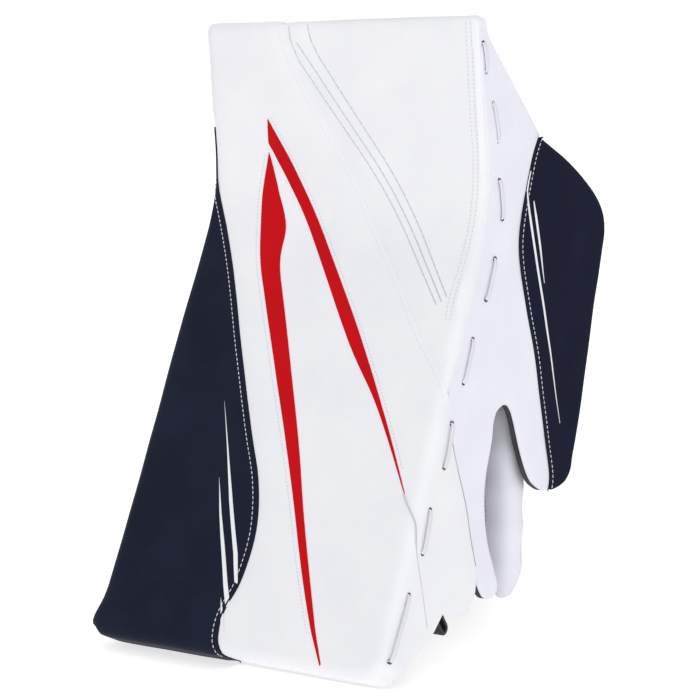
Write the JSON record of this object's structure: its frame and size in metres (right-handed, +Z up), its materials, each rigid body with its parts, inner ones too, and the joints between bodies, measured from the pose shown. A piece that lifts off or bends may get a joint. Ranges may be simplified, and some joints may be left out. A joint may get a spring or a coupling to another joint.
{
  "type": "goalkeeper blocking glove",
  "caption": "Bent padded board with a side wall and thumb flap, worn on the hand by a glove laced behind it, to block shots and hold a stick.",
  "frame": {"origin": "middle of the cuff's mouth, where the wearer's hand goes in", "axes": "+Z up the forearm, out of the cuff; +X to the thumb side; +Y from the board to the palm"},
  "size_m": [0.2049, 0.2734, 0.3561],
  "materials": {
    "white_leather": "smooth synthetic leather",
    "navy_leather": "grained synthetic leather",
    "red_leather": "smooth synthetic leather",
    "foam": "closed-cell foam under fabric",
    "stiffener_sheet": "polyethylene sheet",
    "back_nylon": "woven nylon",
    "black_webbing": "woven webbing",
    "dark_lining": "knitted lining",
    "charcoal_leather": "suede-finish synthetic leather",
    "hook_tape": "loop tape",
    "lace_cord": "flat woven lace",
    "eyelet_metal": "black enamelled eyelet"
  },
  "bodies": {
    "shell": {"face_cover": "white_leather", "wall_cover": "white_leather", "index_guard": "white_leather", "face_panel": "navy_leather", "cuff_trim": "navy_leather", "long_stripe": "red_leather", "short_stripe": "red_leather", "board_foam": "foam", "wall_foam": "foam", "backhand_pad": "foam", "mount_wedge": "foam", "board_stiffener": "stiffener_sheet", "back_cover": "back_nylon", "glove_back": "back_nylon", "strap_anchor": "black_webbing", "guard_strap": "black_webbing", "edge_binding": "black_webbing", "wall_lining": "dark_lining", "cuff_lining": "dark_lining", "cuff_shell": "charcoal_leather", "glove_palm": "charcoal_leather", "palm_patch": "charcoal_leather", "thumb_gusset": "charcoal_leather", "hook_patch": "hook_tape", "side_lace": "lace_cord", "eyelets": "eyelet_metal"},
    "thumb_flap": {"flap_foam": "foam", "flap_cover": "white_leather", "flap_panel": "navy_leather", "flap_lining": "dark_lining"},
    "strap": {"wrist_strap": "black_webbing", "strap_end": "navy_leather"},
    "index_base": {"index_base": "charcoal_leather"},
    "index_tip": {"index_tip": "white_leather"},
    "middle_base": {"middle_base": "charcoal_leather"},
    "middle_tip": {"middle_tip": "white_leather"},
    "ring_base": {"ring_base": "charcoal_leather"},
    "ring_tip": {"ring_tip": "white_leather"},
    "little_base": {"little_base": "charcoal_leather"},
    "little_tip": {"little_tip": "white_leather"},
    "thumb_base": {"thumb_base": "charcoal_leather"},
    "thumb_tip": {"thumb_tip": "charcoal_leather"}
  },
  "joints": [
    {"name": "flap_flex", "type": "hinge", "parent": "shell", "child": "thumb_flap", "pos_m": [0.07516, -0.0177, -0.01], "axis": [0.0129, -0.2507, -0.968], "range_deg": [0, 35], "stiffness_Nm_per_rad": 1.5},
    {"name": "strap_peel", "type": "hinge", "parent": "shell", "child": "strap", "pos_m": [-0.0501, 0.0035, -0.015], "axis": [-0.2341, 0.107, 0.9663], "range_deg": [0, 120]},
    {"name": "index_knuckle", "type": "hinge", "parent": "shell", "child": "index_base", "pos_m": [0.0565, -0.0296, -0.187], "axis": [1, 0, 0], "range_deg": [0, 50]},
    {"name": "index_middle_joint", "type": "hinge", "parent": "index_base", "child": "index_tip", "pos_m": [0.0565, -0.03396, -0.23681], "axis": [1, 0, 0], "range_deg": [0, 60]},
    {"name": "middle_knuckle", "type": "hinge", "parent": "shell", "child": "middle_base", "pos_m": [0.0322, -0.0296, -0.187], "axis": [1, 0, 0], "range_deg": [0, 50]},
    {"name": "middle_middle_joint", "type": "hinge", "parent": "middle_base", "child": "middle_tip", "pos_m": [0.0322, -0.03396, -0.23681], "axis": [1, 0, 0], "range_deg": [0, 60]},
    {"name": "ring_knuckle", "type": "hinge", "parent": "shell", "child": "ring_base", "pos_m": [0.0094, -0.0296, -0.187], "axis": [1, 0, 0], "range_deg": [0, 50]},
    {"name": "ring_middle_joint", "type": "hinge", "parent": "ring_base", "child": "ring_tip", "pos_m": [0.0094, -0.03378, -0.23482], "axis": [1, 0, 0], "range_deg": [0, 60]},
    {"name": "little_knuckle", "type": "hinge", "parent": "shell", "child": "little_base", "pos_m": [-0.0124, -0.0296, -0.187], "axis": [1, 0, 0], "range_deg": [0, 50]},
    {"name": "little_middle_joint", "type": "hinge", "parent": "little_base", "child": "little_tip", "pos_m": [-0.0124, -0.03326, -0.22884], "axis": [1, 0, 0], "range_deg": [0, 60]},
    {"name": "thumb_root", "type": "hinge", "parent": "shell", "child": "thumb_base", "pos_m": [0.054, 0.022, -0.107], "axis": [-0.01, 0.9816, 0.1905], "range_deg": [0, 35]},
    {"name": "thumb_joint", "type": "hinge", "parent": "thumb_base", "child": "thumb_tip", "pos_m": [0.05626, 0.0304, -0.15013], "axis": [-0.01, 0.9816, 0.1905], "range_deg": [0, 35]}
  ],
  "couplings": [
    {"joint": "index_middle_joint", "follows": "index_knuckle", "ratio": 1.2},
    {"joint": "middle_middle_joint", "follows": "middle_knuckle", "ratio": 1.2},
    {"joint": "ring_middle_joint", "follows": "ring_knuckle", "ratio": 1.2},
    {"joint": "little_middle_joint", "follows": "little_knuckle", "ratio": 1.2},
    {"joint": "thumb_joint", "follows": "thumb_root", "ratio": 1}
  ]
}
